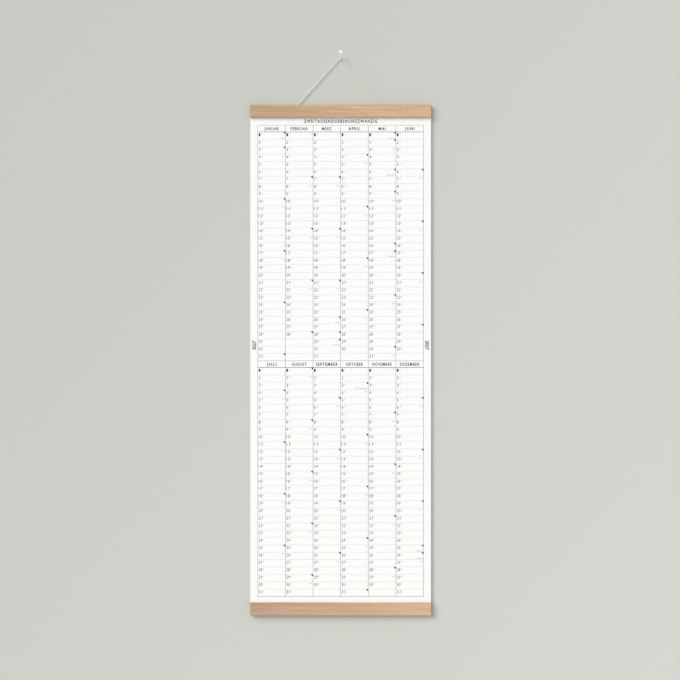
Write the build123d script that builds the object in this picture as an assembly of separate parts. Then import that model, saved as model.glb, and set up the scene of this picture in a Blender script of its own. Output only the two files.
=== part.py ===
from build123d import *
import math
import os

# A tall year planner: one printed sheet clamped between oak poster rails, hung by a cord over a nail.
# Millimetres. The wall is the plane Y = 0 with the room on its -Y side, Z is up and X = 0 is the
# middle of the calendar. The origin is the point where the nail's axis enters the wall.

# The sheet
sheet_width = 340
sheet_height = 960
sheet_thickness = 0.3

# The four oak strips, two to a rail
strip_height = 24
strip_thickness = 6
strip_edge_radius = 0.8

# The disc magnets that hold a rail's two strips together, glued into blind holes
magnets_per_strip = 4
magnet_pitch = 90
magnet_diameter = 10
magnet_thickness = 2
magnet_glue_gap = 0.1
magnet_sink = 0.1

# The cord, its holes in the top edge of the top back strip, and the pockets for its knots
cord_diameter = 2
cord_line = -3.5
cord_hole_gap = 0.4
cord_hole_spacing = 162
cord_hole_depth = 6
pocket_width = 8
pocket_height = 9
pocket_floor = 1
pocket_corner_radius = 1.5
knot_gap = 0.3
knot_height = 4.2
knot_tail_length = 3

# The nail: white coat on what stands out of the wall, bare steel on what is driven in
nail_slant = 30
nail_coated_diameter = 2.5
nail_bare_diameter = 2.1
nail_reach = 25
nail_depth = 20
nail_coat_in_wall = 0.4
nail_point_length = 3.5
nail_tip_radius = 0.15
nail_head_diameter = 6.5
nail_head_thickness = 1.2
nail_head_edge_radius = 0.4
nail_neck_height = 0.8
nail_neck_diameter = 4.5

# The rails' top edge hangs 90 below the cord's centre line where it crosses the nail.
rail_top = -85.35
bottom_rail_top = rail_top - sheet_height + strip_height

# From the wall outwards: back strip, sheet, front strip
back_strip_inner_face = -strip_thickness
front_strip_inner_face = back_strip_inner_face - sheet_thickness

# A pocket is open to the sheet. Its knot, in line with the cord's hole, fills the narrower side of it.
pocket_depth = strip_thickness - pocket_floor
knot_diameter = 2 * (min(-cord_line - pocket_floor, strip_thickness + cord_line) - knot_gap)
knot_edge_radius = (knot_diameter - cord_diameter) / 2
pocket_ceiling = rail_top - cord_hole_depth

# The cord's route from knot to knot: up out of its hole, in a straight pull to the nail, over it and
# down again. The radii are those of the bends at the hole's mouth and around the nail.
cord_points = [
    (-81, cord_line, -91.35),
    (-81, cord_line, -84.15),
    (-1.22, cord_line, 4.65),
    (1.22, cord_line, 4.65),
    (81, cord_line, -84.15),
    (81, cord_line, -91.35),
]
cord_radii = [2.5, 2.63, 2.63, 2.5]


def row(count, pitch):
    """Places along X, evenly spaced about the middle."""
    return [(i - (count - 1) / 2) * pitch for i in range(count)]


def disc(x, y, z, diameter, thickness):
    """A flat disc facing the room, with its middle at the point given."""
    return Pos(x, y, z) * Rot(90, 0, 0) * Cylinder(diameter / 2, thickness)


def strip(inner_face, outward, top):
    """A flat oak bar with its outer edges rounded, and blind magnet holes in its inner face.

    outward is +1 for a strip on the wall's side of the sheet and -1 for one on the room's side.
    """
    bar = Box(sheet_width, strip_thickness, strip_height)
    outer_face = bar.faces().sort_by(Axis.Y)[-1 if outward > 0 else 0]
    bar = fillet(outer_face.edges(), strip_edge_radius)
    middle = top - strip_height / 2
    bar = Pos(0, inner_face + outward * strip_thickness / 2, middle) * bar
    hole_depth = magnet_thickness + magnet_sink
    hole_middle = inner_face + outward * hole_depth / 2
    for x in row(magnets_per_strip, magnet_pitch):
        bar -= disc(x, hole_middle, middle, magnet_diameter + 2 * magnet_glue_gap, hole_depth)
    return bar


def cord_seat(x):
    """A cord hole down from the top edge, and the knot's pocket below it, open to the inner face."""
    hole = Cylinder(cord_diameter / 2 + cord_hole_gap, cord_hole_depth)
    hole = Pos(x, cord_line, rail_top - cord_hole_depth / 2) * hole
    pocket = Box(pocket_width, pocket_depth, pocket_height)
    pocket = fillet(pocket.edges().filter_by(Axis.Y), pocket_corner_radius)
    pocket_middle = -pocket_floor - pocket_depth / 2
    pocket = Pos(x, pocket_middle, pocket_ceiling - pocket_height / 2) * pocket
    return hole + pocket


def magnet(x, inner_face, outward, top):
    """A disc magnet on the floor of its hole, a little below the strip's inner face."""
    y = inner_face + outward * (magnet_sink + magnet_thickness / 2)
    return disc(x, y, top - strip_height / 2, magnet_diameter, magnet_thickness)


def knot(x):
    """The pulled-tight end knot, seated against its pocket's ceiling, with the cord's cut tail."""
    body = Cylinder(knot_diameter / 2, knot_height)
    body = fillet(body.edges().filter_by(GeomType.CIRCLE), knot_edge_radius)
    body = Pos(x, cord_line, pocket_ceiling - knot_height / 2) * body
    tail = Cylinder(cord_diameter / 2, knot_height / 2 + knot_tail_length)
    tail_top = pocket_ceiling - knot_height / 2
    return body + Pos(x, cord_line, tail_top - knot_height / 4 - knot_tail_length / 2) * tail


def cord():
    """One tube along the cord's route, with its bends as arcs."""
    route = FilletPolyline(*cord_points, radius=cord_radii)
    tube = sweep(Plane(route @ 0, z_dir=route % 0) * Circle(cord_diameter / 2), path=route)
    ideal = math.pi * (cord_diameter / 2) ** 2 * route.length
    print("cord radii", cord_radii, "length", round(route.length, 2))
    print("cord volume", round(tube.volume, 2), "section times length", round(ideal, 2))
    return tube


def turned(lower_radius, upper_radius, low, high):
    """A length of the nail between two heights on its own axis, straight or tapered."""
    middle = (low + high) / 2
    if lower_radius == upper_radius:
        return Pos(0, 0, middle) * Cylinder(lower_radius, high - low)
    return Pos(0, 0, middle) * Cone(lower_radius, upper_radius, high - low)


def wall_nail():
    """A round nail with a flat head and a small neck under it, driven downwards into the wall."""
    bare = nail_bare_diameter / 2
    coated = nail_coated_diameter / 2
    shoulder = -nail_coat_in_wall
    head_low = nail_reach - nail_head_thickness
    neck_low = head_low - nail_neck_height
    head = turned(nail_head_diameter / 2, nail_head_diameter / 2, head_low, nail_reach)
    head = fillet(head.edges().filter_by(GeomType.CIRCLE), nail_head_edge_radius)
    nail = turned(nail_tip_radius, bare, -nail_depth, nail_point_length - nail_depth)
    nail += turned(bare, bare, nail_point_length - nail_depth, shoulder)
    nail += turned(coated, coated, shoulder, neck_low)
    nail += turned(coated, nail_neck_diameter / 2, neck_low, head_low)
    nail += head
    return Rot(90 - nail_slant, 0, 0) * nail


def calendar_sheet():
    """The printed sheet, its top and bottom edges flush with the outer edges of the rails."""
    y = (back_strip_inner_face + front_strip_inner_face) / 2
    z = rail_top - sheet_height / 2
    return Pos(0, y, z) * Box(sheet_width, sheet_thickness, sheet_height)


nodes = {
    "calendar_sheet": calendar_sheet(),
    "hanging_cord": cord(),
    "left_knot": knot(-cord_hole_spacing / 2),
    "right_knot": knot(cord_hole_spacing / 2),
    "wall_nail": wall_nail(),
}
for rail, top in (("top", rail_top), ("bottom", bottom_rail_top)):
    for side, inner_face, outward in (
        ("back", back_strip_inner_face, 1),
        ("front", front_strip_inner_face, -1),
    ):
        nodes[f"{rail}_{side}_strip"] = strip(inner_face, outward, top)
        for i, x in enumerate(row(magnets_per_strip, magnet_pitch)):
            nodes[f"{rail}_{side}_magnet_{i + 1}"] = magnet(x, inner_face, outward, top)
for x in (-cord_hole_spacing / 2, cord_hole_spacing / 2):
    nodes["top_back_strip"] -= cord_seat(x)

os.makedirs("parts", exist_ok=True)
for name, solid in nodes.items():
    export_step(solid, f"parts/{name}.step")
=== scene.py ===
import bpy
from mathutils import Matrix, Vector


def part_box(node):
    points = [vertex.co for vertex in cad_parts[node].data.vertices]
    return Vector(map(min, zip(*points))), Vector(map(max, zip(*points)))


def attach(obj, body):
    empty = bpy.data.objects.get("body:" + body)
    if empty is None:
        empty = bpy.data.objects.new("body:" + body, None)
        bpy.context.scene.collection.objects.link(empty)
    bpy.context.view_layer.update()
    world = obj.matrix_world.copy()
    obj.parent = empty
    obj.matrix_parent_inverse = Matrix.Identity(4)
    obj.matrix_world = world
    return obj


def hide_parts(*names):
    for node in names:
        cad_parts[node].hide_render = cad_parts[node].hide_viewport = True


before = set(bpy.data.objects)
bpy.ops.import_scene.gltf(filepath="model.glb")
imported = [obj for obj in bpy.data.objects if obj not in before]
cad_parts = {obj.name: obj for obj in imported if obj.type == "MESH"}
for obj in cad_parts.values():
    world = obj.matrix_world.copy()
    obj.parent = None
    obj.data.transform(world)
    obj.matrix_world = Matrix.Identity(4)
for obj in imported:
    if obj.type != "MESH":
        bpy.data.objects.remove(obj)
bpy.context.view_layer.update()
import calendar
import datetime
import math

import bpy
from mathutils import Vector

# THE STAGE
# A pale painted wall right behind the calendar, a pale floor far below it, and soft studio light that
# comes mostly from the upper left. The camera stands level in front, three metres away.
sheet_low, sheet_high = (Vector(corner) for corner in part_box("calendar_sheet"))
sheet_front = sheet_low.y
sheet_middle = (sheet_low + sheet_high) / 2


def colour(hex_code):
    """A linear colour from its sRGB hex code."""
    parts = [int(hex_code[i : i + 2], 16) / 255 for i in (1, 3, 5)]
    linear = [c / 12.92 if c <= 0.04045 else ((c + 0.055) / 1.055) ** 2.4 for c in parts]
    return (*linear, 1)


def add_node(tree, kind, inputs=(), **settings):
    """A shader node with its settings, and its inputs set to values or linked to other nodes' outputs."""
    made = tree.nodes.new(kind)
    for name, value in settings.items():
        setattr(made, name, value)
    for name, value in dict(inputs).items():
        if isinstance(value, bpy.types.NodeSocket):
            tree.links.new(value, made.inputs[name])
        else:
            made.inputs[name].default_value = value
    return made


def new_material(name):
    """An empty material: (material, its node tree, its output)."""
    made = bpy.data.materials.new(name)
    made.use_nodes = True
    made.node_tree.nodes.clear()
    return made, made.node_tree, add_node(made.node_tree, "ShaderNodeOutputMaterial")


def surface(name, **inputs):
    """A material with one plain shader, its inputs given by name with _ for a space."""
    made, tree, output = new_material(name)
    shader = add_node(tree, "ShaderNodeBsdfPrincipled", {k.replace("_", " "): v for k, v in inputs.items()})
    tree.links.new(shader.outputs["BSDF"], output.inputs["Surface"])
    return made


# Matt wall paint, seen only from the room's side so that views from behind show the rails' backs.
wall_paint, tree, output = new_material("wall_paint")
paint = add_node(tree, "ShaderNodeBsdfDiffuse", {"Color": colour("#D9DAD5"), "Roughness": 1.0})
unseen = add_node(tree, "ShaderNodeBsdfTransparent")
side = add_node(tree, "ShaderNodeNewGeometry")
seen = add_node(
    tree, "ShaderNodeMixShader", {0: side.outputs["Backfacing"], 1: paint.outputs[0], 2: unseen.outputs[0]}
)
tree.links.new(seen.outputs[0], output.inputs["Surface"])

bpy.ops.object.select_all(action="DESELECT")
bpy.ops.mesh.primitive_plane_add(size=9, location=(0, 0.0006, 0.6), rotation=(math.radians(90), 0, 0))
wall = bpy.context.object
wall.name = "wall"
wall.data.materials.append(wall_paint)
wall.visible_shadow = False
wall.visible_diffuse = False

bpy.ops.mesh.primitive_plane_add(size=9, location=(0, -2, -2.2))
floor = bpy.context.object
floor.name = "floor"
floor.data.materials.append(surface("floor_paint", Base_Color=colour("#DAD9D5"), Roughness=0.9))

world = bpy.data.worlds.new("studio")
bpy.context.scene.world = world
world.use_nodes = True
world.node_tree.nodes["Background"].inputs["Color"].default_value = (0.97, 0.985, 1, 1)
world.node_tree.nodes["Background"].inputs["Strength"].default_value = 0.6

bpy.ops.object.light_add(type="SUN", rotation=(math.radians(62), 0, math.radians(-38)))
key = bpy.context.object
key.name = "key"
key.data.energy = 1.95
key.data.angle = math.radians(40)
key.data.color = (1, 0.985, 0.96)

camera_distance = 3
view_width = 1.28
bpy.ops.object.camera_add(
    location=(-0.0012, sheet_front - camera_distance, sheet_middle.z + 0.0377),
    rotation=(math.radians(90), 0, 0),
)
camera = bpy.context.object
camera.data.lens = camera.data.sensor_width * camera_distance / view_width
bpy.context.scene.camera = camera
bpy.context.scene.view_settings.view_transform = "Standard"

# THE HANGING CORD
# Off-white cotton, three strands twisted to 2 mm. It runs from a knot in the top back strip up over the
# nail and down to the other knot, pulled straight by the planner's weight.
cord_diameter = 0.002
cord_line = -0.0035
cord_route = [
    (-0.081, cord_line, -0.09135),
    (-0.081, cord_line, -0.08415),
    (-0.07619, cord_line, -0.0788),
    (-0.00924, cord_line, -0.00427),
    (-0.00122, cord_line, 0.0048),
    (0.00122, cord_line, 0.0048),
    (0.00924, cord_line, -0.00427),
    (0.07619, cord_line, -0.0788),
    (0.081, cord_line, -0.08415),
    (0.081, cord_line, -0.09135),
]
route = bpy.data.curves.new("cord_route", "CURVE")
route.dimensions = "3D"
route.resolution_u = 40
spline = route.splines.new("NURBS")
spline.points.add(len(cord_route) - 1)
for point, place in zip(spline.points, cord_route):
    point.co = (*place, 1)
spline.order_u = 3
spline.use_endpoint_u = True
route_object = bpy.data.objects.new("cord_route", route)
cord_path = [v.co.copy() for v in bpy.data.meshes.new_from_object(route_object).vertices]
bpy.data.objects.remove(route_object)


def even_steps(path, step):
    """Points along a line of points, evenly spaced, with the line's whole length."""
    lengths = [0]
    for a, b in zip(path, path[1:]):
        lengths.append(lengths[-1] + (b - a).length)
    count = max(2, round(lengths[-1] / step))
    points = []
    i = 0
    for k in range(count + 1):
        at = lengths[-1] * k / count
        while i < len(path) - 2 and lengths[i + 1] < at:
            i += 1
        share = (at - lengths[i]) / max(lengths[i + 1] - lengths[i], 1e-12)
        points.append(path[i].lerp(path[i + 1], min(1, share)))
    return points, lengths[-1]


def finish_mesh(name, vertices, faces, material, smooth=True):
    """A new piece from its vertices and faces, with its material and smooth or flat shading."""
    mesh = bpy.data.meshes.new(name)
    mesh.from_pydata(vertices, [], faces)
    mesh.materials.append(material)
    mesh.polygons.foreach_set("use_smooth", [smooth] * len(mesh.polygons))
    mesh.update()
    piece = bpy.data.objects.new(name, mesh)
    bpy.context.collection.objects.link(piece)
    return piece


twist_length = 0.006
ring_points = 21
ring_spacing = 0.0005
core_share = 0.76
lobe_share = 0.24
lobe_roundness = 0.7
steps, cord_length = even_steps(cord_path, ring_spacing)
vertices = []
for i, centre in enumerate(steps):
    along = (steps[min(i + 1, len(steps) - 1)] - steps[max(i - 1, 0)]).normalized()
    outwards = Vector((0, -1, 0))
    sideways = along.cross(outwards)
    turn = 2 * math.pi * i * cord_length / (len(steps) - 1) / twist_length
    for k in range(ring_points):
        angle = 2 * math.pi * k / ring_points
        lobe = abs(math.cos(1.5 * (angle - turn)))
        radius = cord_diameter / 2 * (core_share + lobe_share * lobe**lobe_roundness)
        vertices.append(centre + radius * (math.cos(angle) * outwards + math.sin(angle) * sideways))
faces = []
for i in range(len(steps) - 1):
    for k in range(ring_points):
        a = i * ring_points + k
        b = i * ring_points + (k + 1) % ring_points
        faces.append((a, a + ring_points, b + ring_points, b))
faces.append(tuple(range(ring_points)))
faces.append(tuple(len(vertices) - 1 - k for k in range(ring_points)))

# Cotton yarn: soft, matt and slightly fuzzy, its tone flecked at random between greyer and whiter.
cotton, tree, output = new_material("twisted_cotton")
place = add_node(tree, "ShaderNodeTexCoord")
fuzz = add_node(
    tree, "ShaderNodeTexNoise", {"Vector": place.outputs["Object"], "Scale": 4000, "Detail": 4.0}
)
tone = add_node(
    tree,
    "ShaderNodeMix",
    {"Factor": fuzz.outputs["Fac"], "A": colour("#D6D4CA"), "B": colour("#F1EFE8")},
    data_type="RGBA",
)
nap = add_node(tree, "ShaderNodeBump", {"Height": fuzz.outputs["Fac"], "Strength": 0.5, "Distance": 0.0001})
shader = add_node(
    tree,
    "ShaderNodeBsdfPrincipled",
    {
        "Base Color": tone.outputs["Result"],
        "Roughness": 0.95,
        "Sheen Weight": 0.3,
        "Normal": nap.outputs["Normal"],
    },
)
tree.links.new(shader.outputs["BSDF"], output.inputs["Surface"])

cord = finish_mesh("twisted_cord", vertices, faces, cotton)
bpy.ops.object.select_all(action="DESELECT")
cord.select_set(True)
bpy.context.view_layer.objects.active = cord
bpy.ops.object.mode_set(mode="EDIT")
bpy.ops.mesh.select_all(action="SELECT")
bpy.ops.mesh.normals_make_consistent(inside=False)
bpy.ops.object.mode_set(mode="OBJECT")
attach(cord, "hung_planner")
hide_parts("hanging_cord")


def paint_node(name, material):
    """Give a CAD node its finish."""
    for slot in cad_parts[name].material_slots:
        slot.material = material


for name in ("left_knot", "right_knot"):
    paint_node(name, cotton)

# THE WALL NAIL
# A round steel nail, driven into the wall at a slant. The head and the shank in the room are coated
# white, satin and a little rounded over. The driven part is bare drawn steel.
nail_slant = math.radians(30)
coat_in_wall = 0.0004
nail_finish, tree, output = new_material("white_coated_steel")
place = add_node(tree, "ShaderNodeTexCoord")
depth = add_node(
    tree,
    "ShaderNodeVectorMath",
    {0: place.outputs["Object"], 1: (0, math.cos(nail_slant), -math.sin(nail_slant))},
    operation="DOT_PRODUCT",
)
driven = add_node(
    tree, "ShaderNodeMath", {0: depth.outputs["Value"], 1: coat_in_wall}, operation="GREATER_THAN"
)
dimples = add_node(
    tree, "ShaderNodeTexNoise", {"Vector": place.outputs["Object"], "Scale": 900, "Detail": 3.0}
)
skin = add_node(
    tree, "ShaderNodeBump", {"Height": dimples.outputs["Fac"], "Strength": 0.15, "Distance": 0.0001}
)
coat = add_node(
    tree,
    "ShaderNodeBsdfPrincipled",
    {"Base Color": colour("#F7F7F5"), "Roughness": 0.32, "Normal": skin.outputs["Normal"]},
)
steel = add_node(
    tree, "ShaderNodeBsdfPrincipled", {"Base Color": colour("#B9B8B4"), "Metallic": 1.0, "Roughness": 0.35}
)
both = add_node(
    tree, "ShaderNodeMixShader", {0: driven.outputs[0], 1: coat.outputs[0], 2: steel.outputs[0]}
)
tree.links.new(both.outputs[0], output.inputs["Surface"])
paint_node("wall_nail", nail_finish)


# THE OAK STRIPS
# Four flat bars of solid light oak, planed, with rounded outer edges and a thin matt oil. The grain runs
# along them, with fine dark pores. The top pair is cut from a livelier board than the bottom pair.
def oak(name, dark, light, pore_depth, seed):
    """Oiled oak with its grain along X: slow bands of growth, fine streaks, and short open pores."""
    made, tree, output = new_material(name)
    place = add_node(tree, "ShaderNodeTexCoord")
    shifted = add_node(
        tree,
        "ShaderNodeVectorMath",
        {0: place.outputs["Object"], 1: (seed, seed * 0.7, seed * 0.3)},
        operation="ADD",
    )
    # Growth bands some 4 mm apart that wander along the strip, streaks of 0.8 mm and pores of 0.3 mm.
    bands_at = add_node(
        tree, "ShaderNodeVectorMath", {0: shifted.outputs[0], 1: (6, 180, 230)}, operation="MULTIPLY"
    )
    bands = add_node(
        tree,
        "ShaderNodeTexNoise",
        {"Vector": bands_at.outputs[0], "Scale": 1.0, "Detail": 3.0, "Distortion": 0.6},
    )
    streaks_at = add_node(
        tree, "ShaderNodeVectorMath", {0: shifted.outputs[0], 1: (22, 900, 1100)}, operation="MULTIPLY"
    )
    streaks = add_node(
        tree,
        "ShaderNodeTexNoise",
        {"Vector": streaks_at.outputs[0], "Scale": 1.0, "Detail": 5.0, "Roughness": 0.65},
    )
    pores_at = add_node(
        tree, "ShaderNodeVectorMath", {0: shifted.outputs[0], 1: (140, 2600, 3000)}, operation="MULTIPLY"
    )
    pores = add_node(
        tree, "ShaderNodeTexNoise", {"Vector": pores_at.outputs[0], "Scale": 1.0, "Detail": 2.0}
    )
    open_pores = add_node(
        tree, "ShaderNodeMapRange", {"Value": pores.outputs["Fac"], "From Min": 0.6, "From Max": 0.7}
    )
    grain = add_node(
        tree, "ShaderNodeMix", {"Factor": 0.5, "A": bands.outputs["Fac"], "B": streaks.outputs["Fac"]}
    )
    spread = add_node(
        tree, "ShaderNodeMapRange", {"Value": grain.outputs["Result"], "From Min": 0.36, "From Max": 0.64}
    )
    # The colour is scaled darker towards the left end (-X) and lighter towards the right end.
    apart = add_node(tree, "ShaderNodeSeparateXYZ", {"Vector": place.outputs["Object"]})
    along = add_node(
        tree, "ShaderNodeMapRange", {
            "Value": apart.outputs["X"],
            "From Min": -0.17,
            "From Max": 0.17,
            "To Min": 0.86,
            "To Max": 1.12,
        }
    )
    tone = add_node(
        tree,
        "ShaderNodeMix",
        {"Factor": spread.outputs[0], "A": colour(dark), "B": colour(light)},
        data_type="RGBA",
    )
    graded = add_node(
        tree,
        "ShaderNodeVectorMath",
        {0: tone.outputs["Result"], "Scale": along.outputs[0]},
        operation="SCALE",
    )
    pored = add_node(
        tree,
        "ShaderNodeMix",
        {"Factor": open_pores.outputs[0], "A": graded.outputs[0], "B": colour("#8A6647")},
        data_type="RGBA",
    )
    softened = add_node(
        tree,
        "ShaderNodeMix",
        {"Factor": pore_depth, "A": graded.outputs[0], "B": pored.outputs["Result"]},
        data_type="RGBA",
    )
    relief = add_node(
        tree, "ShaderNodeMath", {0: spread.outputs[0], 1: open_pores.outputs[0]}, operation="SUBTRACT"
    )
    bump = add_node(
        tree, "ShaderNodeBump", {"Height": relief.outputs[0], "Strength": 0.25, "Distance": 0.0002}
    )
    shader = add_node(
        tree,
        "ShaderNodeBsdfPrincipled",
        {"Base Color": softened.outputs["Result"], "Roughness": 0.55, "Normal": bump.outputs["Normal"]},
    )
    tree.links.new(shader.outputs["BSDF"], output.inputs["Surface"])
    return made


oak_of = {
    "top": oak("oiled_oak_lively", "#B38D69", "#D8BB9B", 0.7, 0.0),
    "bottom": oak("oiled_oak_quiet", "#BC9878", "#D5B79C", 0.35, 3.1),
}
for rail, finish in oak_of.items():
    for side_name in ("back", "front"):
        paint_node(f"{rail}_{side_name}_strip", finish)

# THE MAGNETS
# Sixteen neodymium discs, nickel plated: bright, slightly yellow, with fine tumbling scratches. Each is
# glued into a blind hole in a strip's inner face.
nickel, tree, output = new_material("nickel_plate")
place = add_node(tree, "ShaderNodeTexCoord")
scratches = add_node(
    tree, "ShaderNodeTexNoise", {"Vector": place.outputs["Object"], "Scale": 700, "Detail": 6.0}
)
shine = add_node(
    tree, "ShaderNodeMapRange", {"Value": scratches.outputs["Fac"], "To Min": 0.14, "To Max": 0.34}
)
shader = add_node(
    tree,
    "ShaderNodeBsdfPrincipled",
    {"Base Color": colour("#CFCBC2"), "Metallic": 1.0, "Roughness": shine.outputs[0]},
)
tree.links.new(shader.outputs["BSDF"], output.inputs["Surface"])
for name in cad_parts:
    if "_magnet_" in name:
        paint_node(name, nickel)

# THE SHEET
# One piece of stiff uncoated planner paper, bright white and matt, cut square. Up close it has a faint
# tooth and a slight cloudiness from its fibres.
paper, tree, output = new_material("uncoated_paper")
place = add_node(tree, "ShaderNodeTexCoord")
cloud = add_node(
    tree, "ShaderNodeTexNoise", {"Vector": place.outputs["Object"], "Scale": 180, "Detail": 5.0}
)
tooth = add_node(
    tree, "ShaderNodeTexNoise", {"Vector": place.outputs["Object"], "Scale": 2500, "Detail": 3.0}
)
tone = add_node(
    tree,
    "ShaderNodeMix",
    {"Factor": cloud.outputs["Fac"], "A": colour("#F7F7F6"), "B": colour("#FBFBFA")},
    data_type="RGBA",
)
feel = add_node(
    tree, "ShaderNodeBump", {"Height": tooth.outputs["Fac"], "Strength": 0.12, "Distance": 0.0001}
)
shader = add_node(
    tree,
    "ShaderNodeBsdfPrincipled",
    {
        "Base Color": tone.outputs["Result"],
        "Roughness": 0.85,
        "Specular IOR Level": 0.3,
        "Normal": feel.outputs["Normal"],
    },
)
tree.links.new(shader.outputs["BSDF"], output.inputs["Surface"])
paint_node("calendar_sheet", paper)

# THE PRINTED RULES
# Printed ink, a film too thin to feel. Two blocks of six month columns, each with a header and thirty-one
# rows, are ruled with grey column lines, hairline row lines and a dark line under each header.
ink_film = 0.00003
grid_width = 0.312
column_width = grid_width / 6
row_height = 0.0139
header_height = 0.0126
hairline = 0.00025
top_line = 0.0005
frame_line = 0.0006
header_line = 0.00085
days_in_grid = 31
grid_left = sheet_middle.x - grid_width / 2
grid_top = sheet_high.z - 0.038
block_height = header_height + days_in_grid * row_height
black_ink = surface("black_ink", Base_Color=colour("#2B2A29"), Roughness=0.6)
dark_grey_ink = surface("dark_grey_ink", Base_Color=colour("#505050"), Roughness=0.6)
pale_grey_ink = surface("pale_grey_ink", Base_Color=colour("#8C8C8C"), Roughness=0.6)


def bar(left, right, low, high):
    """One flat printed bar on the sheet's front: (vertices, faces)."""
    back, front = sheet_front, sheet_front - ink_film
    corners = [(x, y, z) for y in (front, back) for z in (low, high) for x in (left, right)]
    sides = [(0, 1, 3, 2), (4, 6, 7, 5), (0, 4, 5, 1), (2, 3, 7, 6), (0, 2, 6, 4), (1, 5, 7, 3)]
    return corners, sides


def print_piece(name, shapes, ink):
    """One printed piece from many closed shapes, each (vertices, faces)."""
    vertices, faces = [], []
    for corners, sides in shapes:
        start = len(vertices)
        vertices += corners
        faces += [tuple(start + i for i in face) for face in sides]
    piece = finish_mesh(name, vertices, faces, ink, smooth=False)
    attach(piece, "hung_planner")
    return piece


def level_line(z, width):
    """A line across the whole grid."""
    return bar(grid_left, grid_left + grid_width, z - width / 2, z + width / 2)


block_tops = [grid_top, grid_top - block_height]
grid_bottom = grid_top - 2 * block_height
hairlines = [
    level_line(top - header_height - k * row_height, hairline) for top in block_tops for k in range(
        1, days_in_grid
    )
]
print_piece("row_hairlines", hairlines, pale_grey_ink)
outer_lines = [
    level_line(grid_top, top_line),
    level_line(block_tops[1], frame_line),
    level_line(grid_bottom, frame_line),
]
for k in range(7):
    x = grid_left + k * column_width
    outer_lines.append(bar(x - frame_line / 2, x + frame_line / 2, grid_bottom, grid_top))
print_piece("column_lines", outer_lines, dark_grey_ink)
print_piece("header_lines", [level_line(top - header_height, header_line) for top in block_tops], black_ink)

# THE CORNER MARKS
# A solid black triangle fills the top right corner of every Sunday and public holiday.
year = 2027
public_holidays = {
    (1, 1): "Neujahr",
    (3, 26): "Karfreitag",
    (3, 29): "Ostermontag",
    (5, 1): "Tag der Arbeit",
    (5, 6): "Christi Himmelfahrt",
    (5, 17): "Pfingstmontag",
    (10, 3): "Tag der Deutschen Einheit",
    (12, 25): "1. Weihnachtstag",
    (12, 26): "2. Weihnachtstag",
}
mark_side = 0.0046


def cell(month, day):
    """The left edge and the top line of a day's cell."""
    block = (month - 1) // 6
    left = grid_left + (month - 1) % 6 * column_width
    return left, block_tops[block] - header_height - (day - 1) * row_height


def corner_mark(right, top):
    """A flat triangle whose right angle is in the cell's top right corner."""
    outline = [(right - mark_side, top), (right, top - mark_side), (right, top)]
    corners = [(x, y, z) for y in (sheet_front - ink_film, sheet_front) for x, z in outline]
    return corners, [(0, 1, 2), (5, 4, 3), (0, 3, 4, 1), (1, 4, 5, 2), (2, 5, 3, 0)]


every_day = [(m, d) for m in range(1, 13) for d in range(1, calendar.monthrange(year, m)[1] + 1)]
marks = []
for month, day in every_day:
    if calendar.weekday(year, month, day) == 6 or (month, day) in public_holidays:
        left, top = cell(month, day)
        marks.append(corner_mark(left + column_width, top))
print_piece("corner_marks", marks, black_ink)

# THE LETTERING
# Printed ink. The year in words and the months are in bold capitals. Each day has its number with the
# weekday beside it, each Monday its week's number, and each public holiday its name. The year's figures
# stand in both side margins, and read upwards on the left and downwards on the right.
letter_shapes = {}


def lettering(text, height, width=None, weight=0.0, spacing=1.0):
    """Printed letters with their lower left corner at (0, 0): (points in x, depth, z, faces, width).

    height is that of a capital. width is the text's whole width, or its natural one if not given.
    """
    key_of = (text, height, width, weight, spacing)
    if key_of in letter_shapes:
        return letter_shapes[key_of]
    bpy.ops.object.select_all(action="DESELECT")
    bpy.ops.object.text_add()
    made = bpy.context.object
    made.data.body = text
    made.data.resolution_u = 2
    made.data.offset = weight
    made.data.space_character = spacing
    made.data.extrude = 0.5
    bpy.ops.object.convert(target="MESH")
    made = bpy.context.object
    points = [v.co.copy() for v in made.data.vertices]
    faces = [tuple(f.vertices) for f in made.data.polygons]
    bpy.data.objects.remove(made)
    capital = 0.729
    up = height / capital
    first = min(p.x for p in points)
    natural = max(p.x for p in points) - first
    across = width / natural if width else up * 0.8
    placed = [((p.x - first) * across, 0.5 - p.z, p.y * up) for p in points]
    letter_shapes[key_of] = (placed, faces, natural * across)
    return letter_shapes[key_of]


def set_at(shape, x, z, turn=0):
    """Lettering with its lower left corner at x, z on the sheet, turned by quarter turns to the left."""
    points, faces, _ = shape
    c, s = round(math.cos(turn * math.pi / 2)), round(math.sin(turn * math.pi / 2))
    placed = [
        (x + c * px - s * pz, sheet_front - ink_film * (1 - depth), z + s * px + c * pz)
        for px, depth, pz in points
    ]
    return placed, faces


bold = 0.03
title_height = 0.0064
title_width = 0.138
title_spacing = 1.35
title = lettering("ZWEITAUSENDSIEBENUNDZWANZIG", title_height, title_width, bold, title_spacing)
title_low = sheet_high.z - 0.0335
print_piece("year_in_words", [set_at(title, sheet_middle.x - title[2] / 2, title_low)], black_ink)

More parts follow.
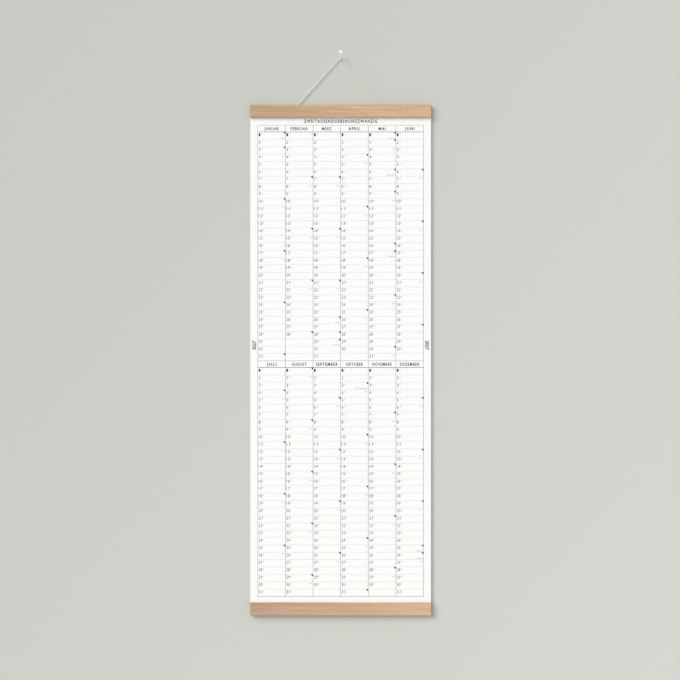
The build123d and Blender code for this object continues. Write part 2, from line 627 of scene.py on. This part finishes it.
months = "JANUAR FEBRUAR MÄRZ APRIL MAI JUNI JULI AUGUST SEPTEMBER OKTOBER NOVEMBER DEZEMBER".split()
month_height = 0.0059
month_spacing = 1.3
letter_pitch = 0.00468
letter_gap = 0.0006
names = []
for i, word in enumerate(months):
    shape = lettering(word, month_height, letter_pitch * len(word) - letter_gap, bold, month_spacing)
    left, top = cell(i + 1, 1)
    names.append(
        set_at(shape, left + (column_width - shape[2]) / 2, top + (header_height - month_height) / 2),
    )
print_piece("month_names", names, black_ink)

number_height = 0.0061
number_widths = {1: 0.0033, 2: 0.0066}
number_left = 0.0018
number_drop = 0.0082
weekday_height = 0.0021
weekday_lefts = {1: 0.0072, 2: 0.0095}
weekday_drop = 0.0049
week_height = 0.0019
week_margin = 0.0015
week_drop = 0.0047
numbers, weekdays, weeks = [], [], []
for month, day in every_day:
    left, top = cell(month, day)
    figures_in_day = len(str(day))
    figure = lettering(str(day), number_height, number_widths[figures_in_day])
    numbers.append(set_at(figure, left + number_left, top - number_drop))
    weekday = calendar.weekday(year, month, day)
    name = lettering("Mo Di Mi Do Fr Sa So".split()[weekday], weekday_height)
    weekdays.append(set_at(name, left + weekday_lefts[figures_in_day], top - weekday_drop))
    if weekday == 0:
        number = datetime.date(year, month, day).isocalendar()[1]
        week = lettering(f"KW {number}", week_height)
        weeks.append(set_at(week, left + column_width - week_margin - week[2], top - week_drop))
print_piece("day_numbers", numbers, black_ink)
print_piece("weekday_names", weekdays, dark_grey_ink)
print_piece("week_numbers", weeks, dark_grey_ink)

holiday_height = 0.0019
holiday_margin = 0.0018
holiday_rise = 0.0015
holidays = []
for (month, day), word in public_holidays.items():
    left, top = cell(month, day)
    shape = lettering(word, holiday_height)
    holidays.append(
        set_at(shape, left + column_width - holiday_margin - shape[2], top - row_height + holiday_rise),
    )
print_piece("holiday_names", holidays, dark_grey_ink)

figures_height = 0.0068
figures_width = 0.0175
side_gap = 0.0035
figures = lettering(str(year), figures_height, figures_width, bold)
side_marks = [
    set_at(figures, grid_left - side_gap, block_tops[1] + 0.0205, 1),
    set_at(figures, grid_left + grid_width + side_gap, block_tops[1] + 0.038, 3),
]
print_piece("year_figures", side_marks, black_ink)
